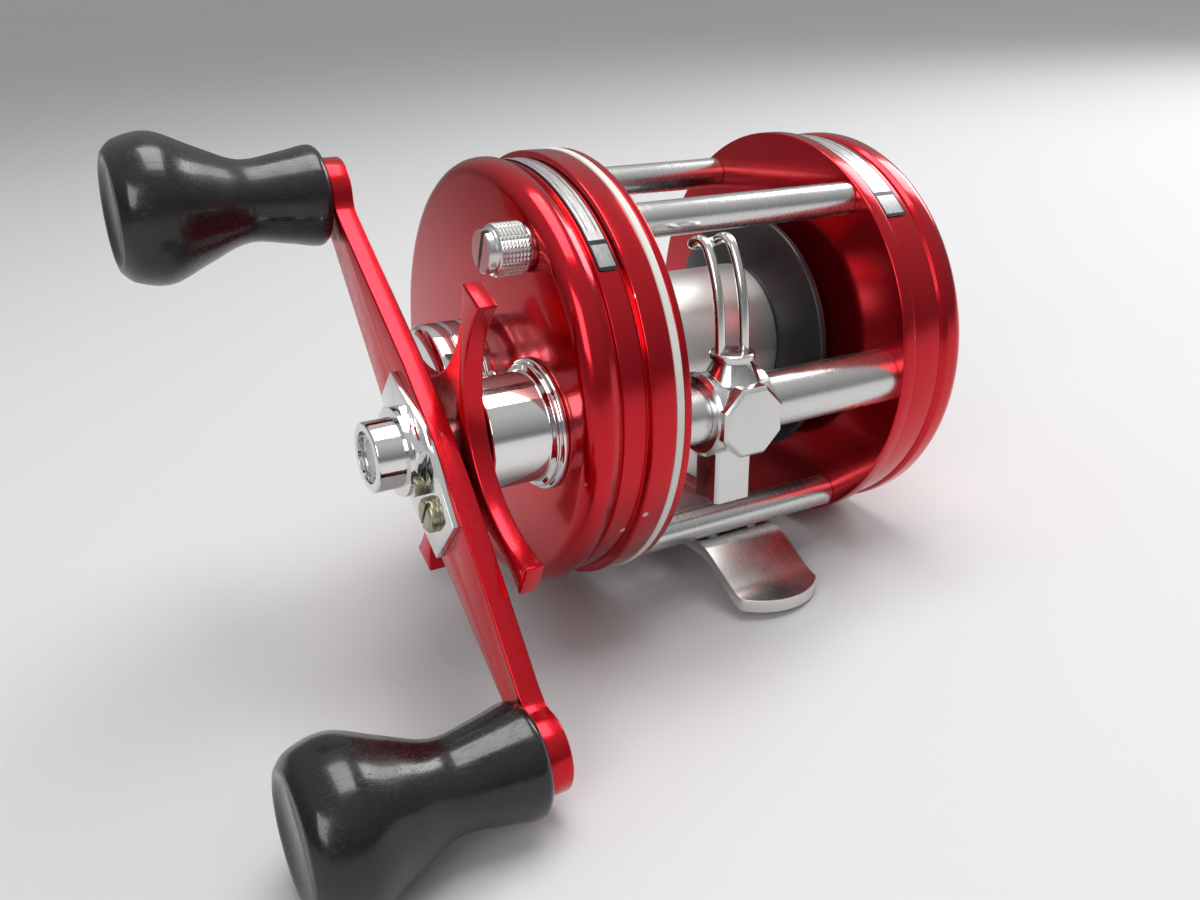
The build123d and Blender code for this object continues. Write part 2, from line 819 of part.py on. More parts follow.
def knob(at):
    """A waisted grip, turned from its small rim at the arm to its broad rounded end."""
    end = knob_start + knob_length
    small = (right(knob_start + 1.3), knob_small_radius)
    waist = (right(knob_start + 9.2), knob_waist_radius)
    swell = (right(end - 5.2), knob_big_radius)
    shoulder = (right(end - 1.6), knob_big_radius - 0.55)
    profile = [
        ThreePointArc((right(knob_start), knob_small_radius - 1.0), (right(knob_start + 0.3),
                      knob_small_radius - 0.3), small),
        Spline(small, (right(knob_start + 4.5), knob_waist_radius + 0.55), waist,
               (right(end - 9.8), knob_waist_radius + 1.75), swell, shoulder,
               (right(end), knob_end_radius), tangents=[(-1, 0), (-0.25, -1)]),
        Line((right(end), knob_end_radius), (right(end), 0)),
        Line((right(end), 0), (right(knob_start), 0)),
        Line((right(knob_start), 0), (right(knob_start), knob_small_radius - 1.0)),
    ]
    body = revolve(Plane.XZ * make_face(profile), Axis.X)
    head_start = knob_start + knob_length - 5.5
    body -= rod(spindle_radius + running_gap, right(knob_start), right(head_start))
    chamber_ends = (right(head_start - 0.1), right(head_start + 1.3))
    body -= rod(spindle_head_radius + running_gap, *chamber_ends)
    return Pos(0, *at) * body


# Spool


def spool_drum():
    drum = turned([
        (-drum_half, 0),
        (-drum_half, drum_radius, 0.4),
        (drum_half, drum_radius, 0.4),
        (drum_half, 0),
    ])
    reach = drum_half + flange_rise + flange_rim
    drum += rod(drum_spigot, -reach, reach)
    return drum - rod(spool_shaft_radius + fit_gap, -reach, reach)


def spool_flange(side):
    """A flange with a gently coned inner face; side is -1 towards the handle and +1 away."""
    bore = drum_spigot + fit_gap
    rim = drum_half + flange_rise
    return turned([
        (side * drum_half, bore),
        (side * drum_half, drum_radius),
        (side * rim, flange_radius, 0.3),
        (side * (rim + flange_rim), flange_radius, 0.3),
        (side * (rim + flange_rim), bore),
    ])


def spool_shaft():
    shaft_end = right(neck_end - 1.0)
    shaft = rod(spool_shaft_radius, shaft_end, left(left_plate_thickness + bearing_width + 3.0))
    cross_pin = Pos(right(1.4), 0, 0) * Cylinder(0.5, 5.2)
    brake_pin = Pos(right(-0.6), 0, 0) * Rot(90, 0, 0) * Cylinder(0.5, 12.0)
    return shaft + cross_pin + brake_pin


def brake_blocks():
    """Two blocks that slide out along their pin and rub in the brake ring."""
    result = []
    for side in (-1, 1):
        block_body = Pos(right(-0.6), side * 4.8, 0) * Rot(90, 0, 0) * Cylinder(1.1, 2.6)
        pin = Pos(right(-0.6), 0, 0) * Rot(90, 0, 0) * Cylinder(0.5 + fit_gap, 12.0)
        result.append(block_body - pin)
    return result


def click_wheel():
    start = left_plate_thickness + bearing_width + 1.0
    wheel = slab(saw_outline(5.0, 4.0, 12), left(start), left(start + 1.0))
    return wheel - rod(spool_shaft_radius + fit_gap, left(start), left(start + 1.0))


def pinion():
    """The sliding pinion: a slotted drive end, teeth, a waist for the yoke and an end collar."""
    teeth_start = ring_thickness + 1.6
    teeth_end = teeth_start + 4.0
    phase = drive_direction + 180 / pinion_teeth
    body = slab(gear_outline(pinion_teeth, phase), right(teeth_start), right(teeth_end))
    body += rod(2.9, right(0.8), right(teeth_start))
    body += rod(2.2, right(teeth_end), right(teeth_end + 2.0))
    body += rod(3.2, right(teeth_end + 2.0), right(teeth_end + 2.8))
    body -= rod(spool_shaft_radius + running_gap, right(0.8), right(teeth_end + 2.8))
    return body - block((right(0.7), right(2.0)), (-0.6, 0.6), (-3.2, 3.2))


def pinion_yoke():
    """A fork round the pinion's waist that slides on two posts."""
    outline = Rectangle(9.0, 24.0)
    arm = Pos(*polar(6.0, button_direction)) * Rot(0, 0, button_direction) * Rectangle(12.0, 5.0)
    outline = fillet((outline + arm).vertices(), 0.8)
    outline -= Circle(2.2 + running_gap)
    outline -= Pos(-3.0, 0) * Rectangle(6.0, 2 * (2.2 + running_gap))
    for at in yoke_posts:
        outline -= Pos(*at) * Circle(0.9 + running_gap + 0.02)
    return slab(outline, right(7.2), right(8.0))


# Line guide


def worm_shaft():
    body = rod(worm_radius, right(-0.3), left(-0.3), worm_axis)
    return body + rod(worm_journal, right(cog_start + cog_width), left(1.2), worm_axis)


def worm_gear():
    phase = worm_direction + 180 + 180 / worm_teeth
    outline = gear_outline(worm_teeth, phase) - Circle(worm_journal + fit_gap)
    return slab(outline, right(cog_start), right(cog_start + cog_width), worm_axis)


def guide_wire_y():
    return worm_axis[0] - 0.9


def line_carriage():
    """The sleeve on the level-wind tube, with a round front boss, a wire neck and a pawl box."""
    y, z = worm_axis
    half = carriage_width / 2
    ends = (carriage_rest - half, carriage_rest + half)
    sleeve = rod(carriage_radius, *ends, worm_axis)
    sleeve = chamfer(sleeve.edges().filter_by(GeomType.CIRCLE), 0.5)
    octagon = RegularPolygon(boss_front_radius, 8, rotation=22.5)
    boss = Pos(carriage_rest, y, z) * Rot(90, 0, 0) * extrude(octagon, amount=boss_front_reach)
    front = boss.faces().sort_by(Axis.Y)[0].edges()
    body = sleeve + chamfer(front, 0.4)
    neck_y = guide_wire_y()
    collar_start = ferrule_top - ferrule_collar
    ferrule = revolve(Plane.XZ * Polygon(
        (0, carriage_radius - 2.0),
        (ferrule_base, carriage_radius - 1.0),
        (ferrule_waist, collar_start - 0.3),
        (ferrule_waist, collar_start),
        (ferrule_radius, collar_start + 0.1),
        (ferrule_radius, ferrule_top - 0.2),
        (ferrule_radius - 0.2, ferrule_top),
        (0, ferrule_top),
        align=None,
    ), Axis.Z)
    body += Pos(carriage_rest, neck_y, z) * ferrule
    box_x = (carriage_rest - pawl_box[0] / 2, carriage_rest + pawl_box[0] / 2)
    box_y = (y - pawl_box[1] / 2, y + pawl_box[1] / 2)
    body += chamfer(block(box_x, box_y, (z - 11.0, z - 3.0)).edges().filter_by(Axis.Z), 0.4)
    body -= rod(tube_radius + running_gap, ends[0] - 1, ends[1] + 1, worm_axis)
    body -= Pos(carriage_rest, y, z - 7.0) * Cylinder(pawl_radius + fit_gap, 10.0)
    body -= Pos(carriage_rest, y, z - 10.5) * Cylinder(1.9 + fit_gap, 1.0)
    for x in (-wire_spacing / 2, wire_spacing / 2):
        body -= Pos(carriage_rest + x, neck_y, z + 6.5) * Cylinder(wire_radius + fit_gap, 2.0)
    return body


def line_guide_wire():
    """One wire bent into a hairpin: two uprights that hook back over the line and join."""
    y, z = guide_wire_y(), worm_axis[1]
    side = [(y, z + 5.6), (y, z + 9.0), (y + 1.6, z + 16.0), (y + 3.9, z + 19.9), (y + 6.6, z + 18.8)]
    half = wire_spacing / 2
    path = [(carriage_rest - half, *point) for point in side]
    path += [(carriage_rest + half, *point) for point in reversed(side)]
    line = FilletPolyline(*path, radius=[4.0, 4.0, 1.6, 1.2, 1.2, 1.6, 4.0, 4.0])
    section = Plane(origin=path[0], z_dir=(0, 0, 1)) * Circle(wire_radius)
    return sweep(section, path=line)


def line_pawl():
    y, z = worm_axis
    low, high = z - 9.9, z - worm_radius - 0.1
    return Pos(carriage_rest, y, (low + high) / 2) * Cylinder(pawl_radius, high - low)


def pawl_cap():
    y, z = worm_axis
    cap = Pos(carriage_rest, y, z - 10.5) * Cylinder(1.9, 1.0)
    return cap - Pos(carriage_rest, y, z - 11.0) * Box(5.0, 0.5, 0.8)


# Controls


def tension_cap():
    bore = neck_radius + running_gap
    start = cover_depth + cap_start
    inner_end = neck_end + 0.2
    outer_end = inner_end + cap_end_wall
    return turned([
        (right(start), bore),
        (right(start), cap_radius, 0.3),
        (right(outer_end), cap_radius, 0.8),
        (right(outer_end), 0),
        (right(inner_end), 0),
        (right(inner_end), bore),
    ])


def thumb_screw(at):
    """A headed screw with a stepped, slotted end."""
    start = cover_depth + running_gap
    end = cover_depth + thumb_length
    screw = turned([
        (right(ring_thickness - 0.9), 0),
        (right(ring_thickness - 0.9), thumb_shaft_radius),
        (right(start), thumb_shaft_radius),
        (right(start), thumb_radius - 0.4),
        (right(start + 0.4), thumb_radius - 0.4),
        (right(start + 0.4), thumb_radius),
        (right(end - 1.0), thumb_radius),
        (right(end - 0.7), thumb_radius - 0.3),
        (right(end), thumb_radius - 0.6),
        (right(end), 0),
    ], at)
    slot = Rot(20, 0, 0) * Box(1.6, 0.8, 3 * thumb_radius)
    return screw - Pos(right(end), *at) * slot


def button_shape(length, width, inner, outer):
    """A round-ended bar that runs radially at the button's place, between two radii."""
    middle_depth = (cover_step_depth + cover_band_depth) / 2
    outline = SlotOverall(length, width)
    bar = extrude(outline, amount=outer - inner)
    upright = Pos(right(middle_depth), 0, 0) * Rot(button_direction - 90, 0, 0)
    return upright * Pos(0, 0, inner) * Rot(0, 0, 90) * bar


def release_button():
    band = side_radius - band_drop
    button = button_shape(button_length, button_width, band - 3.0, band + button_rise)
    middle_depth = (cover_step_depth + cover_band_depth) / 2
    tip_radius = 12.6
    flange = Box(button_width, button_length + 2, 0.8)
    plunger = Pos(0.3, 0, 0) * Box(0.9, 3.6, band - 3.0 - tip_radius)
    upright = Pos(right(middle_depth), 0, 0) * Rot(button_direction - 90, 0, 0)
    button += upright * Pos(0, 0, band - 3.4) * flange
    return button + upright * Pos(0, 0, (tip_radius + band - 3.0) / 2) * plunger


def anti_reverse_dog():
    """A pawl that hangs on its post and lies against the ratchet's rim."""
    length = hypot(dog_axis[0] - drive_axis[0], dog_axis[1] - drive_axis[1]) - ratchet_radius - free_gap
    outline = Circle(2.0) + Polygon((0, -1.6), (length, -0.5), (length, 0.5), (0, 1.6), align=None)
    outline -= Circle(0.9 + running_gap)
    outline = Rot(0, 0, 57.3 + 180) * outline
    return slab(outline, right(ratchet_start + 0.1), right(ratchet_start + 1.0), dog_axis)


pieces = {
    "right_frame_ring": right_frame_ring(),
    "left_frame_plate": left_frame_plate(),
    "top_pillars": group(pillars(pillar_rise)),
    "bottom_pillars": group(pillars(-pillar_rise)),
    "pillar_screws": group(pillar_screws()),
    "level_wind_tube": level_wind_tube(),
    "reel_foot": reel_foot(),
    "foot_rivets": group(foot_rivets()),
    "spacer_ring": spacer_ring(),
    "right_side_cover": right_side_cover(),
    "right_label": foil_label(
        right(cover_step_depth + label_margin),
        right(cover_band_depth - label_margin),
        side_radius - band_drop,
        39.5,
        104,
    ),
    "left_side_cover": left_side_cover(),
    "left_label": foil_label(
        left(left_plate_thickness + label_margin + 0.4),
        left(left_band_depth - label_margin - 0.4),
        side_radius - left_band_drop,
        44,
        100,
    ),
    "left_cover_screws": group(left_cover_screws()),
    "gear_plate": gear_plate(),
    "gear_plate_screws": group(gear_plate_screws()),
    "bearing_boss": bearing_boss(),
    "drive_boss": drive_boss(),
    "drive_bushing": drive_bushing(),
    "right_spool_bearing": ball_bearing(right(bearing_start), right(bearing_start + bearing_width)),
    "left_spool_bearing": ball_bearing(
        left(left_plate_thickness),
        left(left_plate_thickness + bearing_width),
    ),
    "brake_ring": brake_ring(),
    "worm_bushings": group(worm_bushings()),
    "drive_shaft": drive_shaft(),
    "drive_gear": drive_gear(),
    "level_wind_cog": level_wind_cog(),
    "drag_washers": group(drag_washers()),
    "ratchet_wheel": ratchet_wheel(),
    "drag_springs": group(drag_springs()),
    "drag_sleeve": drag_sleeve(),
    "star_drag": star_drag(),
    "handle_arm": handle_arm(),
    "nut_plate": nut_plate(),
    "handle_nut": handle_nut(),
    "plate_screw": plate_screw(),
    "knob_spindles": group(knob_spindles()),
    "spool_drum": spool_drum(),
    "spool_flange_left": spool_flange(1),
    "spool_flange_right": spool_flange(-1),
    "spool_shaft": spool_shaft(),
    "brake_blocks": group(brake_blocks()),
    "click_wheel": click_wheel(),
    "pinion": pinion(),
    "pinion_yoke": pinion_yoke(),
    "worm_shaft": worm_shaft(),
    "worm_gear": worm_gear(),
    "line_carriage": line_carriage(),
    "line_guide_wire": line_guide_wire(),
    "line_pawl": line_pawl(),
    "pawl_cap": pawl_cap(),
    "tension_cap": tension_cap(),
    "release_button": release_button(),
    "click_button": click_button(),
    "click_pawl": click_pawl(),
    "anti_reverse_dog": anti_reverse_dog(),
}
for knob_name, knob_axis in knob_axes.items():
    pieces[knob_name] = knob(knob_axis)
for screw_name, screw_axis in thumb_axes.items():
    pieces[screw_name] = thumb_screw(screw_axis)

os.makedirs("parts", exist_ok=True)
for piece_name, piece in pieces.items():
    save(piece_name, piece)
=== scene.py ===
import json
import math

import bpy
from mathutils import Matrix, Vector
from mathutils.geometry import interpolate_bezier

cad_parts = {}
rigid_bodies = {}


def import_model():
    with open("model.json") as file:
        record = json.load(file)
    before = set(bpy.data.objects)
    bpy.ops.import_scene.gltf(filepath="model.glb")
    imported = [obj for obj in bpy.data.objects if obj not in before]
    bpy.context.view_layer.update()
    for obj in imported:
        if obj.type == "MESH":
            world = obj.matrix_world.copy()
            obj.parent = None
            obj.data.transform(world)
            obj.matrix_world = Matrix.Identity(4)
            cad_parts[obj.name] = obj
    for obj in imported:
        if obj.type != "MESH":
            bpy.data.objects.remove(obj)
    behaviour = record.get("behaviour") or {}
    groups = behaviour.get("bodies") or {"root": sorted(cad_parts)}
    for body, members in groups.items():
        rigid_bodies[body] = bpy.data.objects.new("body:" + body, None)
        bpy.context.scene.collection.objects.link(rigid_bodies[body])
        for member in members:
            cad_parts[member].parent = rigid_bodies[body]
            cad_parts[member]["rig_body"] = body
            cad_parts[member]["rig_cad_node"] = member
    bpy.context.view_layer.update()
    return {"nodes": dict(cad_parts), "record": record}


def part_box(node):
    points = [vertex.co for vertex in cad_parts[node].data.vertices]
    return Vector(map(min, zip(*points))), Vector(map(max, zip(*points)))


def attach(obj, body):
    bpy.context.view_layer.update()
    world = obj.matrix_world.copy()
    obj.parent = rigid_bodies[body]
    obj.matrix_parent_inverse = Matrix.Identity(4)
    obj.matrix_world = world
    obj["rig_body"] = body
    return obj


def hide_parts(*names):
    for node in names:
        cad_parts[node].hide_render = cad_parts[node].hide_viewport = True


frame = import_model()
nodes = frame["nodes"]
bodies = frame["record"]["behaviour"]["bodies"]
body_of_node = {node: body for body, names in bodies.items() for node in names}
slot_of_node = {row["node"]: row["material_slot"] for row in frame["record"]["subparts"]}

MM = 0.001
ROUND = 160
SMALL_ROUND = 64
RIM_ROUND = 192
BARREL_ROUND = 96
COVER_WALL = 1.2 * MM
RING_BORE = 17.6 * MM
RING_LIP = 1.0 * MM


# ---------------------------------------------------------------- places taken from the frame

def middle(node):
    """The (y, z) middle of a node, where its X axis runs."""
    low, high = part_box(node)
    return (low.y + high.y) / 2, (low.z + high.z) / 2


def span(node):
    """The lowest and highest X of a node."""
    low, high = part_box(node)
    return low.x, high.x


def half_height(node):
    """Half of a node's height, which is a round node's radius."""
    low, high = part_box(node)
    return (high.z - low.z) / 2


SPOOL = middle("spool_drum")
DRIVE = middle("drive_boss")
TUBE = middle("level_wind_tube")
RIM = half_height("left_frame_plate")


# ---------------------------------------------------------------- modelling steps

def only(piece):
    """Leaves one object selected and active."""
    bpy.ops.object.select_all(action="DESELECT")
    piece.select_set(True)
    bpy.context.view_layer.objects.active = piece


def edit(piece):
    only(piece)
    bpy.ops.object.mode_set(mode="EDIT")


def leave():
    bpy.ops.object.mode_set(mode="OBJECT")


def apply_modifier(piece, kind, **settings):
    """Adds one modifier, sets it up and applies it."""
    only(piece)
    modifier = piece.modifiers.new(kind.title(), kind)
    for name, value in settings.items():
        setattr(modifier, name, value)
    bpy.ops.object.modifier_apply(modifier=modifier.name)
    return piece


def soften(piece, width, segments=3, angle=30):
    """Rounds a piece's sharp edges."""
    return apply_modifier(
        piece,
        "BEVEL",
        width=width,
        segments=segments,
        limit_method="ANGLE",
        angle_limit=math.radians(angle),
        harden_normals=False,
    )


def smooth(piece, angle=32):
    only(piece)
    bpy.ops.object.shade_smooth_by_angle(angle=math.radians(angle))
    return piece


def rounded(outline, steps=5, closed=False):
    """Turns each (x, radius, rounding) corner of an outline into points along its arc."""
    points = []
    count = len(outline)
    for index, point in enumerate(outline):
        corner = Vector((point[0], point[1]))
        inside = closed or 0 < index < count - 1
        if len(point) < 3 or not inside:
            points.append(corner)
            continue
        before = (Vector(outline[index - 1][:2]) - corner).normalized()
        after = (Vector(outline[(index + 1) % count][:2]) - corner).normalized()
        half_turn = before.angle(after) / 2
        centre = corner + (before + after).normalized() * point[2] / math.sin(half_turn)
        start = (corner + before * point[2] / math.tan(half_turn) - centre).normalized()
        end = (corner + after * point[2] / math.tan(half_turn) - centre).normalized()
        for step in range(steps + 1):
            points.append(centre + start.slerp(end, step / steps) * point[2])
    return points


def flowing(points, steps=7):
    """A smooth line through (x, radius) points."""
    points = [Vector(point) for point in points]
    chain = [points[0], *points, points[-1]]
    line = []
    for before, start, end, after in zip(chain, chain[1:], chain[2:], chain[3:]):
        leaving = start + (end - before) / 6
        arriving = end - (after - start) / 6
        line += interpolate_bezier(start, leaving, arriving, end, steps)[:-1]
    return [*line, points[-1]]


def turn(name, outline, centre, segments=ROUND, closed=False):
    """A ring extruded and scaled along an outline of (x, radius) points about an X line.

    An open outline has both its ends capped; a closed one is joined into a hollow wall.
    """
    points = rounded(outline, closed=closed)
    if closed:
        points.append(points[0])
    bpy.ops.object.select_all(action="DESELECT")
    bpy.ops.mesh.primitive_circle_add(
        vertices=segments,
        radius=points[0].y,
        location=(points[0].x, *centre),
        rotation=(0, math.radians(90), 0),
    )
    piece = bpy.context.object
    piece.name = name
    bpy.ops.object.transform_apply(location=True, rotation=True, scale=True)
    bpy.ops.object.mode_set(mode="EDIT")
    bpy.ops.mesh.select_mode(type="EDGE")
    bpy.ops.mesh.select_all(action="SELECT")
    for here, there in zip(points, points[1:]):
        bpy.ops.mesh.extrude_edges_move(TRANSFORM_OT_translate={"value": (there.x - here.x, 0, 0)})
        ratio = there.y / here.y
        if abs(ratio - 1) > 1e-9:
            bpy.ops.transform.resize(value=(1, ratio, ratio), center_override=(there.x, *centre))
    if closed:
        bpy.ops.mesh.select_all(action="SELECT")
        bpy.ops.mesh.remove_doubles(threshold=1e-6)
    else:
        bpy.ops.mesh.edge_face_add()
        bpy.ops.mesh.select_all(action="DESELECT")
        bpy.ops.mesh.select_non_manifold()
        bpy.ops.mesh.edge_face_add()
    bpy.ops.mesh.select_all(action="SELECT")
    bpy.ops.mesh.normals_make_consistent(inside=False)
    leave()
    return piece


def copy_of(node, name):
    """A piece that starts as a merged copy of a CAD node's mesh."""
    only(nodes[node])
    bpy.ops.object.duplicate()
    piece = bpy.context.object
    piece.name = name
    piece.parent = None
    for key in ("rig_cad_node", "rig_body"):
        del piece[key]
    bpy.ops.mesh.customdata_custom_splitnormals_clear()
    edit(piece)
    bpy.ops.mesh.select_all(action="SELECT")
    bpy.ops.mesh.remove_doubles(threshold=2e-6)
    bpy.ops.mesh.dissolve_limited(angle_limit=math.radians(1.5))
    leave()
    return piece


def pick_faces(piece, wanted):
    """Opens a piece in edit mode with only the faces selected for which wanted(face) is true."""
    edit(piece)
    bpy.ops.mesh.select_mode(type="FACE")
    bpy.ops.mesh.select_all(action="DESELECT")
    leave()
    for face in piece.data.polygons:
        face.select = wanted(face)
    bpy.ops.object.mode_set(mode="EDIT")


def bar(name, centre, size, tilt=0.0, rounding=0.0):
    """A block with rounded long edges, turned about X by tilt, for cutting slots."""
    bpy.ops.object.select_all(action="DESELECT")
    bpy.ops.mesh.primitive_cube_add(size=1, location=centre, rotation=(tilt, 0, 0), scale=size)
    piece = bpy.context.object
    piece.name = name
    bpy.ops.object.transform_apply(location=True, rotation=True, scale=True)
    if rounding:
        soften(piece, rounding, segments=5)
    return piece


def cut(piece, cutter, operation="DIFFERENCE"):
    """Cuts one mesh out of another and removes the cutter."""
    apply_modifier(piece, "BOOLEAN", object=cutter, operation=operation, solver="EXACT")
    bpy.data.objects.remove(cutter)
    return piece


def paint(piece, finish):
    piece.data.materials.clear()
    piece.data.materials.append(finish)
    return piece


def stand_for(piece, finish, *replaced):
    """Gives a piece its finish, and lets it move with and stand for CAD nodes."""
    paint(piece, finish)
    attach(piece, body_of_node[replaced[0]])
    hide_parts(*replaced)
    return piece


# ---------------------------------------------------------------- finishes

class Finish:
    """A material's node tree with short calls for the nodes that it is built from."""

    def __init__(self, name, colour, metallic=0.0, roughness=0.4, coat=0.0):
        self.material = bpy.data.materials.new(name)
        self.material.use_nodes = True
        self.tree = self.material.node_tree
        self.shader = self.tree.nodes["Principled BSDF"]
        self.shader.inputs["Base Color"].default_value = (*colour, 1)
        self.shader.inputs["Metallic"].default_value = metallic
        self.shader.inputs["Roughness"].default_value = roughness
        self.shader.inputs["Coat Weight"].default_value = coat
        self.shader.inputs["Coat Roughness"].default_value = 0.04
        self.place = self.add("ShaderNodeTexCoord").outputs["Object"]

    def add(self, kind, settings=None, **inputs):
        node = self.tree.nodes.new(kind)
        for name, value in (settings or {}).items():
            setattr(node, name, value)
        for name, value in inputs.items():
            self.feed(node.inputs[name.replace("_", " ")], value)
        return node

    def feed(self, socket, value):
        if isinstance(value, bpy.types.NodeSocket):
            self.tree.links.new(value, socket)
        else:
            socket.default_value = value

    def moved(self, offset=(0, 0, 0), turn=(0, 0, 0), scale=(1, 1, 1)):
        """The piece's own coordinates in metres, shifted, turned and stretched."""
        node = self.add("ShaderNodeMapping", {"vector_type": "POINT"}, Vector=self.place)
        node.inputs["Location"].default_value = offset
        node.inputs["Rotation"].default_value = turn
        node.inputs["Scale"].default_value = scale
        return node.outputs["Vector"]

    def noise(self, size, detail=3.0, roughness=0.55, where=None, stretch=(1, 1, 1)):
        """Soft noise with features about size metres across."""
        where = where or self.moved(scale=stretch)
        settings = {"Vector": where, "Scale": 1 / size, "Detail": detail, "Roughness": roughness}
        return self.add("ShaderNodeTexNoise", **settings).outputs["Fac"]

    def cells(self, size, where=None):
        """Distance from the nearest of many scattered points, about size metres apart."""
        node = self.add("ShaderNodeTexVoronoi", Vector=where or self.place, Scale=1 / size)
        return node.outputs["Distance"]

    def ramp(self, value, low, high, to_low=0.0, to_high=1.0):
        """Maps a value between two limits, smoothly and clamped."""
        node = self.add("ShaderNodeMapRange", {"interpolation_type": "SMOOTHSTEP"}, Value=value)
        limits = {"From Min": low, "From Max": high, "To Min": to_low, "To Max": to_high}
        for name, number in limits.items():
            node.inputs[name].default_value = number
        return node.outputs["Result"]

    def math(self, operation, first, second=0.0):
        node = self.add("ShaderNodeMath", {"operation": operation})
        self.feed(node.inputs[0], first)
        self.feed(node.inputs[1], second)
        return node.outputs["Value"]

    def mix(self, amount, first, second):
        """A colour between two colours."""
        node = self.add("ShaderNodeMix", {"data_type": "RGBA"})
        self.feed(node.inputs[0], amount)
        self.feed(node.inputs[6], first if isinstance(first, bpy.types.NodeSocket) else (*first, 1))
        self.feed(node.inputs[7], second if isinstance(second, bpy.types.NodeSocket) else (*second, 1))
        return node.outputs[2]

    def apart(self, value, target):
        """How far a value is from a target, either way."""
        return self.math("ABSOLUTE", self.math("SUBTRACT", value, target))

    def either(self, *masks):
        """A mask that holds wherever one of the masks holds."""
        result = masks[0]
        for mask in masks[1:]:
            result = self.math("MAXIMUM", result, mask)
        return result

    def axis(self, name):
        return self.add("ShaderNodeSeparateXYZ", Vector=self.place).outputs[name]

    def colour(self, socket):
        self.feed(self.shader.inputs["Base Color"], socket)
        return self

    def rough(self, socket):
        self.feed(self.shader.inputs["Roughness"], socket)
        return self

    def bump(self, height, distance, strength=1.0):
        """Adds a height in units of distance metres to the surface."""
        node = self.add("ShaderNodeBump", Height=height, Distance=distance, Strength=strength)
        before = self.shader.inputs["Normal"]
        if before.is_linked:
            self.feed(node.inputs["Normal"], before.links[0].from_socket)
        self.feed(before, node.outputs["Normal"])
        return self


def scratches(finish, length=0.004, width=0.00012, share=0.62):
    """Fine straight marks in two directions, as a 0 to 1 mask."""
    marks = None
    stretch = (1 / length, 1 / width, 1 / width)
    for lean in (0.5, -0.8):
        where = finish.moved(turn=(lean, 0.3, lean), scale=stretch)
        noise = finish.noise(1.0, detail=1.0, roughness=0.4, where=where)
        mask = finish.ramp(noise, share, share + 0.08)
        marks = mask if marks is None else finish.math("MAXIMUM", marks, mask)
    return marks


def anodised_red():
    """Dyed aluminium under a hard clear skin, with a few bare nicks."""
    finish = Finish("anodised_red", (0.55, 0.006, 0.016), metallic=0.90, roughness=0.18, coat=0.3)
    tone = finish.noise(0.02, detail=4)
    red = finish.mix(tone, (0.50, 0.005, 0.012), (0.60, 0.008, 0.020))
    nick = finish.cells(0.0062, finish.moved(offset=(0.003, 0.001, 0.002)))
    sparse = finish.noise(0.013, detail=1)
    nicks = finish.math("MULTIPLY", finish.ramp(nick, 0.075, 0.045), finish.ramp(sparse, 0.56, 0.60))
    finish.colour(finish.mix(nicks, red, (0.75, 0.62, 0.60)))
    finish.rough(finish.ramp(finish.noise(0.009, detail=4), 0.3, 0.75, 0.16, 0.22))
    finish.bump(finish.math("SUBTRACT", finish.noise(0.0012, detail=2), nicks), 0.0000015)
    return finish.material


def brushed_red():
    """The handle's dyed aluminium, with the fine grain of a rolled strip on its edges."""
    finish = Finish("brushed_red", (0.58, 0.008, 0.020), metallic=0.90, roughness=0.24, coat=0.2)
    grain = finish.noise(1.0, detail=2, stretch=(9000, 700, 700))
    tone = finish.noise(0.012, detail=4)
    red = finish.mix(tone, (0.54, 0.006, 0.014), (0.64, 0.010, 0.024))
    nick = finish.ramp(finish.cells(0.005), 0.07, 0.045)
    worn = finish.math("MULTIPLY", nick, finish.ramp(finish.noise(0.011), 0.55, 0.6))
    finish.colour(finish.mix(worn, red, (0.78, 0.64, 0.62)))
    finish.rough(finish.ramp(grain, 0.3, 0.7, 0.20, 0.28))
    finish.bump(grain, 0.0000012)
    return finish.material


def chrome(name="polished_chrome", colour=(0.80, 0.80, 0.79), low=0.035, high=0.13):
    """Plated steel: mirror bright, with faint wipe marks and a little dullness."""
    finish = Finish(name, colour, metallic=1.0, roughness=low)
    cloud = finish.ramp(finish.noise(0.005, detail=5), 0.35, 0.8, low, high)
    marks = scratches(finish, length=0.003, width=0.00008, share=0.66)
    finish.rough(finish.math("ADD", cloud, finish.math("MULTIPLY", marks, 0.1)))
    finish.colour(finish.mix(finish.noise(0.009), tuple(c * 0.93 for c in colour), colour))
    finish.bump(finish.noise(0.0015, detail=2), 0.0000012)
    return finish.material


def satin(name="satin_aluminium", colour=(0.70, 0.70, 0.69), low=0.22, high=0.30):
    """Turned aluminium with fine tool lines that run round the X axis."""
    finish = Finish(name, colour, metallic=1.0, roughness=low)
    lines = finish.noise(1.0, detail=2, stretch=(9000, 40, 40))
    cloud = finish.noise(0.012, detail=3)
    unevenness = finish.math("ADD", finish.math("MULTIPLY", lines, 0.5), cloud)
    finish.rough(finish.ramp(unevenness, 0.5, 1.0, low, high))
    finish.colour(finish.mix(cloud, tuple(c * 0.92 for c in colour), colour))
    finish.bump(lines, 0.0000008)
    return finish.material


def plain_metal(name, colour, roughness):
    """Machined metal for screws, bearings and gears."""
    finish = Finish(name, colour, metallic=1.0, roughness=roughness)
    cloud = finish.noise(0.003, detail=4)
    finish.colour(finish.mix(cloud, tuple(c * 0.8 for c in colour), colour))
    finish.rough(finish.ramp(finish.noise(0.0015, detail=3), 0.3, 0.7, roughness * 0.8, roughness * 1.3))
    finish.bump(finish.noise(0.0003, detail=2), 0.000003)
    return finish.material


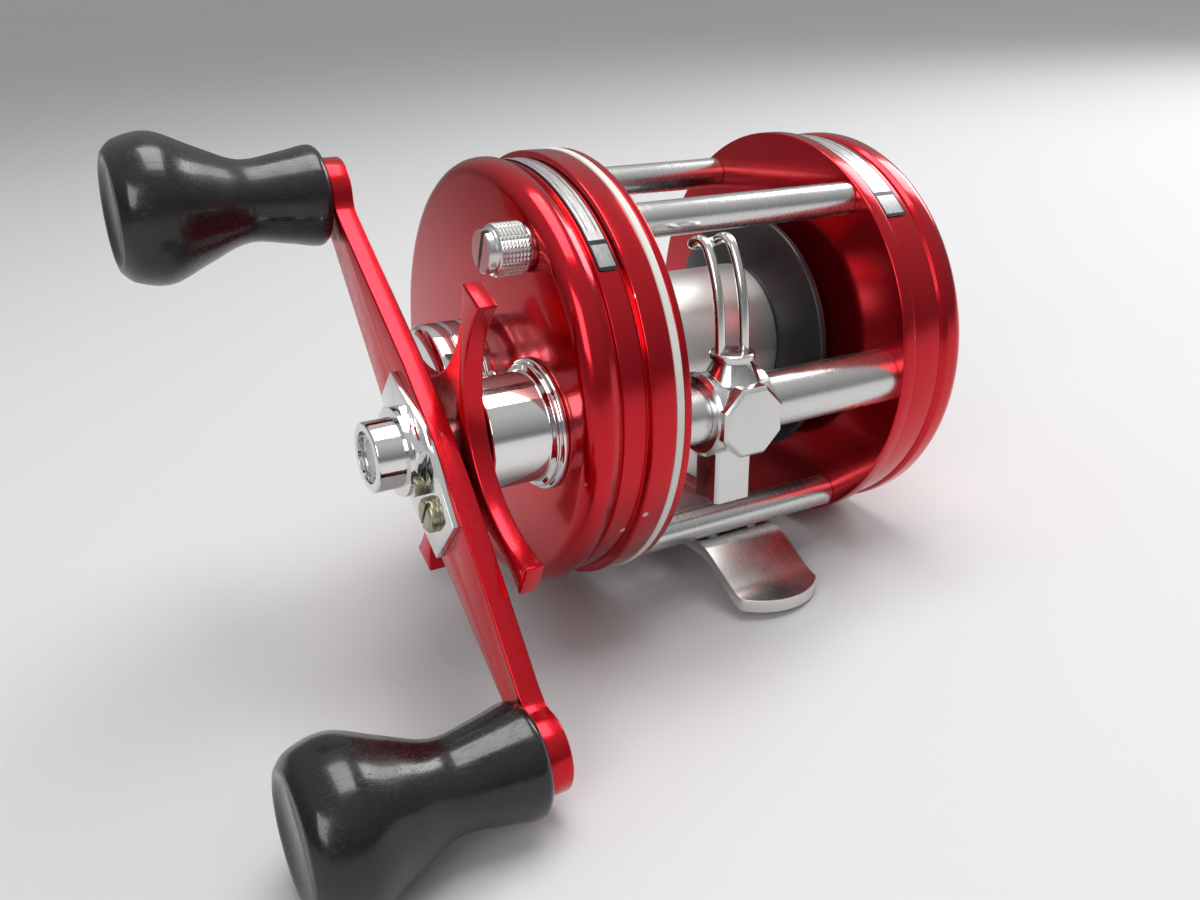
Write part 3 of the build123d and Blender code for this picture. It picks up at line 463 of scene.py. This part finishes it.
def gloss_black(name="black_grip", roughness=0.16):
    """Moulded black plastic, polished by hands, with brown-grey rubs and hairlines."""
    finish = Finish(name, (0.012, 0.012, 0.013), roughness=roughness, coat=0.2)
    rub = finish.ramp(finish.noise(0.007, detail=6, roughness=0.7), 0.52, 0.72)
    faint_rub = finish.math("MULTIPLY", rub, 0.2)
    finish.colour(finish.mix(faint_rub, (0.005, 0.005, 0.006), (0.045, 0.038, 0.032)))
    marks = scratches(finish, length=0.005, width=0.00015, share=0.6)
    worn = finish.ramp(finish.noise(0.010, detail=5), 0.35, 0.7, roughness, roughness + 0.2)
    finish.rough(finish.math("ADD", worn, finish.math("MULTIPLY", marks, 0.15)))
    finish.bump(finish.noise(0.0006, detail=3), 0.000006)
    return finish.material


def flange_black():
    """Hard black enamel on the spool's flanges, dulled by the line."""
    finish = Finish("flange_black", (0.018, 0.018, 0.020), metallic=0.0, roughness=0.34)
    rings = finish.noise(1.0, detail=2, stretch=(200, 200, 200))
    finish.colour(finish.mix(rings, (0.015, 0.015, 0.016), (0.024, 0.024, 0.026)))
    finish.rough(finish.ramp(finish.noise(0.004, detail=4), 0.3, 0.7, 0.30, 0.40))
    finish.bump(finish.noise(0.0008), 0.000003)
    return finish.material


def matte(name, colour, roughness=0.55):
    """Moulded plastic or pressed fibre with a little mottling."""
    finish = Finish(name, colour, roughness=roughness)
    finish.colour(finish.mix(finish.noise(0.004, detail=5), tuple(c * 0.82 for c in colour), colour))
    finish.rough(finish.ramp(finish.noise(0.001), 0.3, 0.7, roughness - 0.08, roughness + 0.1))
    finish.bump(finish.noise(0.0005, detail=3), 0.000008)
    return finish.material


def label(name, node):
    """Brushed foil with a dark border, a plain darker panel at its lower end and two thin lines."""
    finish = Finish(name, (0.62, 0.62, 0.62), metallic=0.85, roughness=0.3)
    grain = finish.noise(1.0, detail=2, stretch=(16000, 500, 500))
    low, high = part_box(node)
    half = (high.x - low.x) / 2
    off_centre = finish.apart(finish.axis("X"), (low.x + high.x) / 2)
    forward = finish.math("SUBTRACT", SPOOL[0], finish.axis("Y"))
    upward = finish.math("SUBTRACT", finish.axis("Z"), SPOOL[1])
    angle = finish.math("ARCTAN2", upward, forward)
    start = math.atan2(low.z - SPOOL[1], SPOOL[0] - low.y)
    panel_end = start + 0.14
    tone = finish.mix(grain, (0.50, 0.50, 0.50), (0.74, 0.74, 0.73))
    panel = finish.math("LESS_THAN", angle, panel_end)
    tone = finish.mix(panel, tone, (0.42, 0.43, 0.44))
    gap = finish.math("LESS_THAN", finish.apart(angle, panel_end), 0.012)
    line = finish.math("LESS_THAN", finish.apart(off_centre, 0.45 * half), 0.04 * half)
    beyond = finish.math("GREATER_THAN", angle, panel_end + 0.06)
    edge = finish.math("GREATER_THAN", off_centre, 0.84 * half)
    end = finish.math("LESS_THAN", angle, start + 0.02)
    marks = finish.either(gap, edge, end, finish.math("MULTIPLY", line, beyond))
    finish.colour(finish.mix(marks, tone, (0.045, 0.045, 0.05)))
    finish.rough(finish.ramp(grain, 0.3, 0.7, 0.24, 0.38))
    finish.bump(grain, 0.000003)
    return finish.material


def floor_finish():
    """Plain pale studio paper."""
    finish = Finish("pale_floor", (0.58, 0.58, 0.59), roughness=0.75)
    finish.colour(finish.mix(finish.noise(0.25, detail=2), (0.56, 0.56, 0.57), (0.60, 0.60, 0.61)))
    return finish.material


RED = anodised_red()
ARM_RED = brushed_red()
CHROME = chrome()
FOOT_STEEL = satin("satin_steel", (0.78, 0.77, 0.75), 0.24, 0.32)
SATIN = satin()
DRUM = satin("drum_aluminium", (0.80, 0.80, 0.78), 0.34, 0.44)
STEEL = plain_metal("plain_steel", (0.52, 0.52, 0.52), 0.3)
BRASS = plain_metal("plain_brass", (0.66, 0.50, 0.24), 0.3)
OLD_BRASS = plain_metal("aged_plated_brass", (0.46, 0.42, 0.30), 0.32)
STEEL_WIRE = chrome("bright_wire", (0.74, 0.73, 0.70), 0.12, 0.24)
GRIP = gloss_black()
FLANGE = flange_black()
OFF_WHITE = matte("off_white_ring", (0.72, 0.71, 0.66), 0.5)
FOIL = plain_metal("plain_foil", (0.62, 0.62, 0.62), 0.3)
CARRIAGE = chrome("plated_carriage", (0.68, 0.68, 0.67), 0.16, 0.28)
FIBRE = matte("pressed_fibre", (0.30, 0.17, 0.08), 0.7)
NYLON = matte("moulded_nylon", (0.80, 0.78, 0.70), 0.5)

finish_of_slot = {
    "red_anodised": RED,
    "chrome": CHROME,
    "satin_metal": SATIN,
    "steel": STEEL,
    "brass": BRASS,
    "brass_screw": OLD_BRASS,
    "black_gloss": GRIP,
    "black_flange": FLANGE,
    "off_white": OFF_WHITE,
    "foil": FOIL,
    "fibre": FIBRE,
    "nylon": NYLON,
}
for node, slot in slot_of_node.items():
    paint(nodes[node], finish_of_slot[slot])


# ---------------------------------------------------------------- frame pieces

def right_cover():
    """The handle-side cover: skirt, label band, groove, rolled bead and flat face."""
    face = span("right_side_cover")[0]
    start = span("spacer_ring")[0]
    step = face + 7.5 * MM
    band_end = face + 4.5 * MM
    band = RIM - 1.0 * MM
    bead = RIM - 0.4 * MM
    inner = band - 1.3 * MM
    cavity = RIM - 1.25 * MM
    outline = [
        (start, cavity),
        (start, RIM, 0.2 * MM),
        (step, RIM, 0.3 * MM),
        (step, band, 0.1 * MM),
        (band_end, band, 0.1 * MM),
        (band_end - 0.25 * MM, band - 0.45 * MM, 0.1 * MM),
        (band_end - 0.5 * MM, band + 0.1 * MM, 0.3 * MM),
        (band_end - 1.7 * MM, bead, 1.0 * MM),
        (face, bead, 2.2 * MM),
        (face, 1.0 * MM),
        (face + COVER_WALL, 1.0 * MM),
        (face + COVER_WALL, inner, 0.8 * MM),
        (step + 0.4 * MM, inner),
        (step + 0.4 * MM, cavity),
    ]
    cover = turn("cover_right_shell", outline, SPOOL, segments=RIM_ROUND, closed=True)
    return stand_for(smooth(cover), RED, "right_side_cover")


def left_cover():
    """The cover on the far side, with its own label band, groove and bead."""
    start, face = span("left_side_cover")
    band = RIM - 0.8 * MM
    bead = RIM - 0.5 * MM
    band_end = face - 4.4 * MM
    inner = band - COVER_WALL
    outline = [
        (start, inner),
        (start, band, 0.15 * MM),
        (band_end, band, 0.1 * MM),
        (band_end + 0.25 * MM, band - 0.4 * MM, 0.1 * MM),
        (band_end + 0.5 * MM, band, 0.2 * MM),
        (band_end + 1.1 * MM, bead, 0.6 * MM),
        (face, bead, 1.9 * MM),
        (face, 1.0 * MM),
        (face - COVER_WALL, 1.0 * MM),
        (face - COVER_WALL, inner, 0.8 * MM),
    ]
    cover = turn("cover_left_shell", outline, SPOOL, segments=RIM_ROUND, closed=True)
    return stand_for(smooth(cover), RED, "left_side_cover")


def left_plate():
    """The far frame plate: a polished disc with a rounded rim and a hole for the spool shaft."""
    low = span("left_frame_plate")[0]
    high = span("left_side_cover")[0]
    shaft_hole = 1.7 * MM
    housing = 5.4 * MM
    housing_bore = 4.03 * MM
    housing_end = high + 3.2 * MM
    outline = [
        (low, shaft_hole),
        (low, RIM, 0.25 * MM),
        (high, RIM, 0.25 * MM),
        (high, housing),
        (housing_end, housing),
        (housing_end, housing_bore),
        (high, housing_bore),
        (high, shaft_hole),
    ]
    plate = turn("left_plate_disc", outline, SPOOL, segments=RIM_ROUND, closed=True)
    return stand_for(smooth(plate), RED, "left_frame_plate")


def right_ring():
    """The near frame ring, open for the spool, with the spigot that centres the cover."""
    low, high = span("right_frame_ring")
    spigot_outer, spigot_inner = RIM - 0.63 * MM, RIM - 1.4 * MM
    outline = [
        (high, RING_BORE),
        (high, RIM, 0.2 * MM),
        (high - RING_LIP, RIM, 0.15 * MM),
        (high - RING_LIP, spigot_outer),
        (low, spigot_outer),
        (low, spigot_inner),
        (high - RING_LIP, spigot_inner),
        (high - RING_LIP, RING_BORE),
    ]
    ring = turn("right_ring_disc", outline, SPOOL, segments=RIM_ROUND, closed=True)
    return stand_for(smooth(ring), RED, "right_frame_ring")


def white_ring():
    """The off-white ring between the near frame ring and the right cover."""
    low, high = span("spacer_ring")
    outer = half_height("spacer_ring")
    inner = outer - 0.68 * MM
    outline = [
        (low, inner),
        (low, outer, 0.25 * MM),
        (high, outer, 0.25 * MM),
        (high, inner),
    ]
    ring = turn("white_spacer", outline, SPOOL, segments=RIM_ROUND, closed=True)
    return stand_for(smooth(ring), OFF_WHITE, "spacer_ring")


def posts(node, name):
    """A pair of plain round pillars with lightly broken ends."""
    low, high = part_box(node)
    radius = (high.z - low.z) / 2
    height = (high.z + low.z) / 2
    rods = []
    broken = 0.1 * MM
    outline = [
        (low.x, radius - broken),
        (low.x + broken, radius),
        (high.x - broken, radius),
        (high.x, radius - broken),
    ]
    for y in (low.y + radius, high.y - radius):
        rods.append(turn(name, outline, (y, height), segments=SMALL_ROUND))
    only(rods[0])
    rods[1].select_set(True)
    bpy.ops.object.join()
    return stand_for(smooth(rods[0]), SATIN, node)


def finer(node, name, width, finish, segments=3, angle=32):
    """A bevelled, smooth-shaded copy that stands for a machined CAD node."""
    piece = soften(copy_of(node, name), width, segments=segments)
    return stand_for(smooth(piece, angle), finish, node)


def wind_tube():
    """The tube that the line guide runs on."""
    low, high = span("level_wind_tube")
    radius = half_height("level_wind_tube")
    wall = 0.8 * MM
    outline = [
        (low, radius - wall),
        (low, radius, 0.1 * MM),
        (high, radius, 0.1 * MM),
        (high, radius - wall),
    ]
    tube = turn("wind_tube", outline, TUBE, segments=BARREL_ROUND, closed=True)
    return stand_for(smooth(tube), SATIN, "level_wind_tube")


def shaft_boss():
    """The polished drive boss: a beaded flange, a shallow groove and a straight barrel."""
    low, high = span("drive_boss")
    face = span("right_side_cover")[0]
    flange = half_height("drive_boss")
    barrel = 6.4 * MM
    bore = 3.65 * MM
    outline = [
        (high, bore),
        (high, 5.0 * MM),
        (face, 5.0 * MM),
        (face, flange, 0.25 * MM),
        (face - 0.75 * MM, flange, 0.35 * MM),
        (face - 0.85 * MM, flange - 0.55 * MM, 0.1 * MM),
        (face - 1.35 * MM, flange - 0.45 * MM, 0.22 * MM),
        (face - 1.55 * MM, barrel, 0.3 * MM),
        (low, barrel, 0.4 * MM),
        (low, bore),
    ]
    boss = turn("drive_barrel", outline, DRIVE, segments=BARREL_ROUND, closed=True)
    return stand_for(smooth(boss), CHROME, "drive_boss")


def cap():
    """The spool tension cap, with two fine grip bands and a dished end."""
    low, high = span("tension_cap")
    radius = half_height("tension_cap")
    bore = 6.35 * MM
    floor = low + 0.6 * MM
    outline = [(high, bore), (high, radius, 0.3 * MM)]
    for start in (1.2 * MM, 3.6 * MM):
        outline += [
            (high - start, radius, 0.08 * MM),
            (high - start - 0.15 * MM, radius - 0.25 * MM, 0.08 * MM),
            (high - start - 0.45 * MM, radius - 0.25 * MM, 0.08 * MM),
            (high - start - 0.6 * MM, radius, 0.08 * MM),
        ]
    outline += [
        (low, radius, 0.8 * MM),
        (low, 0.4 * MM),
        (floor, 0.4 * MM),
        (floor, bore),
    ]
    piece = turn("tension_cap_shell", outline, SPOOL, segments=BARREL_ROUND, closed=True)
    return stand_for(smooth(piece), CHROME, "tension_cap")


def thumb_screw(node, name):
    """A knurled finger screw with a stepped, slotted end."""
    low, high = span(node)
    face = span("right_side_cover")[0]
    radius = half_height(node)
    centre = middle(node)
    start = face - 0.55 * MM
    stop = low + 1.3 * MM
    rings = 8
    outline = [(high, 0.3 * MM), (high, 1.0 * MM), (face - 0.05 * MM, 1.0 * MM)]
    outline += [(face - 0.05 * MM, radius - 0.45 * MM), (start, radius - 0.45 * MM)]
    outline += [(start + (stop - start) * ring / rings, radius - 0.14 * MM) for ring in range(rings + 1)]
    outline += [
        (stop - 0.12 * MM, radius - 0.35 * MM),
        (stop - 0.35 * MM, radius - 0.35 * MM),
        (stop - 0.5 * MM, radius - 0.5 * MM),
        (low + 0.15 * MM, radius - 0.55 * MM),
        (low, radius - 0.75 * MM),
        (low, 0.3 * MM),
    ]
    screw = turn(name, outline, centre, segments=36)
    band = (stop, start)
    pick_faces(screw, lambda face: band[0] < face.center.x < band[1] and abs(face.normal.x) < 0.2)
    bpy.ops.mesh.poke(offset=0.13 * MM)
    leave()
    slot = bar("slot", (low, *centre), (1.5 * MM, 0.7 * MM, 4 * radius), tilt=math.radians(20))
    return stand_for(smooth(cut(screw, slot), 25), SATIN, node)


def knob(node, name):
    """A grip that swells from a small rim at the arm, through a waist, to a broad dished end."""
    end, start = span(node)
    big = half_height(node)
    length = start - end
    small = 0.70 * big
    waist = 0.565 * big
    line = flowing([
        (start, small - 1.0 * MM),
        (start - 0.3 * MM, small - 0.3 * MM),
        (start - 1.3 * MM, small),
        (start - 0.19 * length, waist + 0.55 * MM),
        (start - 0.39 * length, waist),
        (start - 0.585 * length, waist + 1.75 * MM),
        (start - 0.78 * length, big),
        (start - 0.932 * length, big - 0.55 * MM),
        (end + 0.15 * MM, big - 1.75 * MM),
    ])
    line += [
        Vector((end, big - 2.3 * MM)),
        Vector((end + 0.15 * MM, big - 2.8 * MM)),
        Vector((end + 0.5 * MM, big - 3.4 * MM)),
        Vector((end + 0.55 * MM, 0.3 * MM)),
    ]
    collar = 2.35 * MM
    line = [Vector((start - 0.4 * MM, collar)), Vector((start - 0.02 * MM, collar + 0.35 * MM)), *line]
    grip = turn(name, line, middle(node), segments=BARREL_ROUND)
    return stand_for(smooth(grip, 40), GRIP, node)


def spool():
    """The bare drum between two coned black flanges."""
    low, high = span("spool_drum")
    inner_left, outer_left = span("spool_flange_left")
    outer_right, inner_right = span("spool_flange_right")
    radius = half_height("spool_drum")
    spigot = 4.0 * MM
    bore = 1.6 * MM
    outline = [
        (low, bore),
        (low, spigot),
        (inner_right, spigot),
        (inner_right, radius, 0.4 * MM),
        (inner_left, radius, 0.4 * MM),
        (inner_left, spigot),
        (high, spigot),
        (high, bore),
    ]
    drum = turn("drum_barrel", outline, SPOOL, segments=128, closed=True)
    stand_for(smooth(drum), DRUM, "spool_drum")
    rim = half_height("spool_flange_left")
    for node, name, inner, outer in (
        ("spool_flange_left", "flange_far", inner_left, outer_left),
        ("spool_flange_right", "flange_near", inner_right, outer_right),
    ):
        side = 1 if outer > inner else -1
        bend = outer - side * 1.0 * MM
        outline = [
            (inner, spigot + 0.03 * MM),
            (inner, radius),
            (bend, rim, 0.3 * MM),
            (outer, rim, 0.3 * MM),
            (outer, rim - 1.6 * MM, 0.2 * MM),
            (outer - side * 0.35 * MM, rim - 1.9 * MM, 0.2 * MM),
            (outer - side * 0.35 * MM, spigot + 0.03 * MM),
        ]
        flange = turn(name, outline, SPOOL, segments=160, closed=True)
        stand_for(smooth(flange), FLANGE, node)


def guide_wire():
    """One polished wire bent into a hairpin that hooks back over the line."""
    low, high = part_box("line_guide_wire")
    wire = 0.6 * MM
    front = low.y + wire
    side = [
        (front, low.z + 0.1 * MM),
        (front, low.z + 4.4 * MM),
        (front + 1.1 * MM, low.z + 9.5 * MM),
        (front + 2.6 * MM, low.z + 12.6 * MM),
        (front + 3.7 * MM, high.z - wire),
        (front + 5.2 * MM, high.z - wire - 0.15 * MM),
        (high.y - wire, high.z - wire - 1.0 * MM),
    ]
    near, far = low.x + wire, high.x - wire
    route = [(near, y, z) for y, z in side] + [(far, y, z) for y, z in reversed(side)]
    bpy.ops.object.select_all(action="DESELECT")
    bpy.ops.curve.primitive_nurbs_path_add()
    piece = bpy.context.object
    piece.name = "hairpin_wire"
    spline = piece.data.splines[0]
    spline.points.add(len(route) - len(spline.points))
    for point, place in zip(spline.points, route):
        point.co = (*place, 1)
    spline.order_u = 3
    spline.use_endpoint_u = True
    spline.resolution_u = 8
    piece.data.bevel_depth = wire
    piece.data.bevel_resolution = 6
    piece.data.use_fill_caps = True
    bpy.ops.object.convert(target="MESH")
    return stand_for(smooth(piece, 50), STEEL_WIRE, "line_guide_wire")


def button_slot(cover):
    """Cuts the opening in the right cover's rim through which the release button slides."""
    low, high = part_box("release_button")
    angle = math.radians(40)
    reach = RIM + 1 * MM
    along = (low.x + high.x) / 2
    place = (along, SPOOL[0] + reach * math.cos(angle), SPOOL[1] + reach * math.sin(angle))
    size = (2.9 * MM, 9.3 * MM, 9.0 * MM)
    tool = bar("button_slot", place, size, tilt=angle - math.radians(90), rounding=1.3 * MM)
    smooth(cut(cover, tool))


def click_slot(cover):
    """Cuts the upright slot in the left cover's face, with the click button at its lower end."""
    outer = span("click_button")[1]
    travel = 3 * MM
    place = (outer - 2 * MM, SPOOL[0], SPOOL[1] - 12 * MM + travel / 2)
    size = (6.0 * MM, 2.5 * MM, 5.8 * MM)
    smooth(cut(cover, bar("click_slot", place, size, rounding=1.2 * MM)))


button_slot(right_cover())
click_slot(left_cover())
left_plate()
right_ring()
white_ring()
posts("top_pillars", "top_posts")
posts("bottom_pillars", "bottom_posts")
wind_tube()
shaft_boss()
cap()
thumb_screw("thumb_screw_upper", "finger_screw_upper")
thumb_screw("thumb_screw_lower", "finger_screw_lower")
knob("knob_top", "grip_top")
knob("knob_bottom", "grip_bottom")
spool()
guide_wire()
finer("handle_arm", "crank_arm", 0.22 * MM, ARM_RED)
finer("star_drag", "star_wheel", 0.25 * MM, ARM_RED)
finer("nut_plate", "lock_plate", 0.12 * MM, CHROME)
finer("handle_nut", "crank_nut", 0.14 * MM, CHROME)
finer("plate_screw", "lock_screw", 0.08 * MM, OLD_BRASS)
finer("line_carriage", "guide_body", 0.28 * MM, CARRIAGE)
finer("reel_foot", "foot_plate", 0.30 * MM, FOOT_STEEL)
finer("release_button", "release_key", 0.25 * MM, GRIP)
finer("click_button", "click_knob", 0.20 * MM, CHROME)
finer("left_cover_screws", "cover_screws", 0.10 * MM, STEEL)
paint(nodes["right_label"], label("right_foil", "right_label"))
paint(nodes["left_label"], label("left_foil", "left_label"))


# ---------------------------------------------------------------- camera, floor and light

def make_camera():
    """A 33.5 mm lens in front of the handle side, looking down at the reel."""
    roll = math.radians(0.6)
    place = (-0.08398, -0.12230, 0.06724)
    data = bpy.data.cameras.new("camera")
    data.lens = 33.54
    data.sensor_width = 36
    data.clip_start = 0.01
    camera = bpy.data.objects.new("camera", data)
    bpy.context.scene.collection.objects.link(camera)
    right = Vector((0.86317, -0.50488, 0.00556)).normalized()
    forward = Vector((0.47080, 0.80083, -0.37017)).normalized()
    right.rotate(Matrix.Rotation(roll, 3, forward))
    up = right.cross(forward)
    facing = Matrix((right, up, -forward)).transposed().to_4x4()
    camera.matrix_world = Matrix.Translation(place) @ facing
    bpy.context.scene.camera = camera


def make_floor():
    """Pale paper on which the lower knob and the far cover's edge rest."""
    knob_low, knob_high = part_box("knob_bottom")
    cover_low, cover_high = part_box("left_side_cover")
    knob_bottom = Vector((knob_low.x + 5.2 * MM, knob_low.z))
    cover_bottom = Vector((cover_high.x, cover_low.z))
    slope = (cover_bottom.y - knob_bottom.y) / (cover_bottom.x - knob_bottom.x)
    height = knob_bottom.y - slope * knob_bottom.x - 0.05 * MM
    bpy.ops.object.select_all(action="DESELECT")
    level = (0, -math.atan(slope), 0)
    bpy.ops.mesh.primitive_plane_add(size=80, location=(0, 0, height), rotation=level)
    floor = bpy.context.object
    floor.name = "floor"
    paint(floor, floor_finish())


def area_light(name, place, aim, size, power, colour=(1, 1, 1)):
    data = bpy.data.lights.new(name, "AREA")
    data.shape = "RECTANGLE"
    data.size, data.size_y = size
    data.energy = power
    data.color = colour
    light = bpy.data.objects.new(name, data)
    bpy.context.scene.collection.objects.link(light)
    light.location = place
    light.rotation_euler = (Vector(aim) - Vector(place)).to_track_quat("-Z", "Y").to_euler()


def make_light():
    """Soft boxes overhead, to the left and behind, in a room that is darkest low down."""
    world = bpy.data.worlds.new("studio")
    bpy.context.scene.world = world
    world.use_nodes = True
    tree = world.node_tree
    background = tree.nodes["Background"]
    background.inputs["Strength"].default_value = 0.55
    place = tree.nodes.new("ShaderNodeTexCoord")
    split = tree.nodes.new("ShaderNodeSeparateXYZ")
    ramp = tree.nodes.new("ShaderNodeValToRGB")
    tree.links.new(place.outputs["Generated"], split.inputs["Vector"])
    tree.links.new(split.outputs["Z"], ramp.inputs["Fac"])
    tree.links.new(ramp.outputs["Color"], background.inputs["Color"])
    ramp.color_ramp.elements[0].color = (0.53, 0.53, 0.54, 1)
    ramp.color_ramp.elements[1].position = 0.75
    ramp.color_ramp.elements[1].color = (1.0, 1.0, 1.0, 1)
    ramp.color_ramp.elements.new(0.10).color = (0.34, 0.35, 0.37, 1)
    aim = (0, 0, 0.02)
    area_light("overhead", (0.02, 0.00, 0.55), aim, (0.40, 0.30), 2.2, (1.0, 0.98, 0.96))
    area_light("front_left", (-0.45, -0.35, 0.30), aim, (0.25, 0.30), 1.0)
    area_light("right_rear", (0.45, 0.10, 0.35), aim, (0.20, 0.30), 1.4)


make_camera()
make_floor()
make_light()
bpy.context.scene.view_settings.view_transform = "Standard"
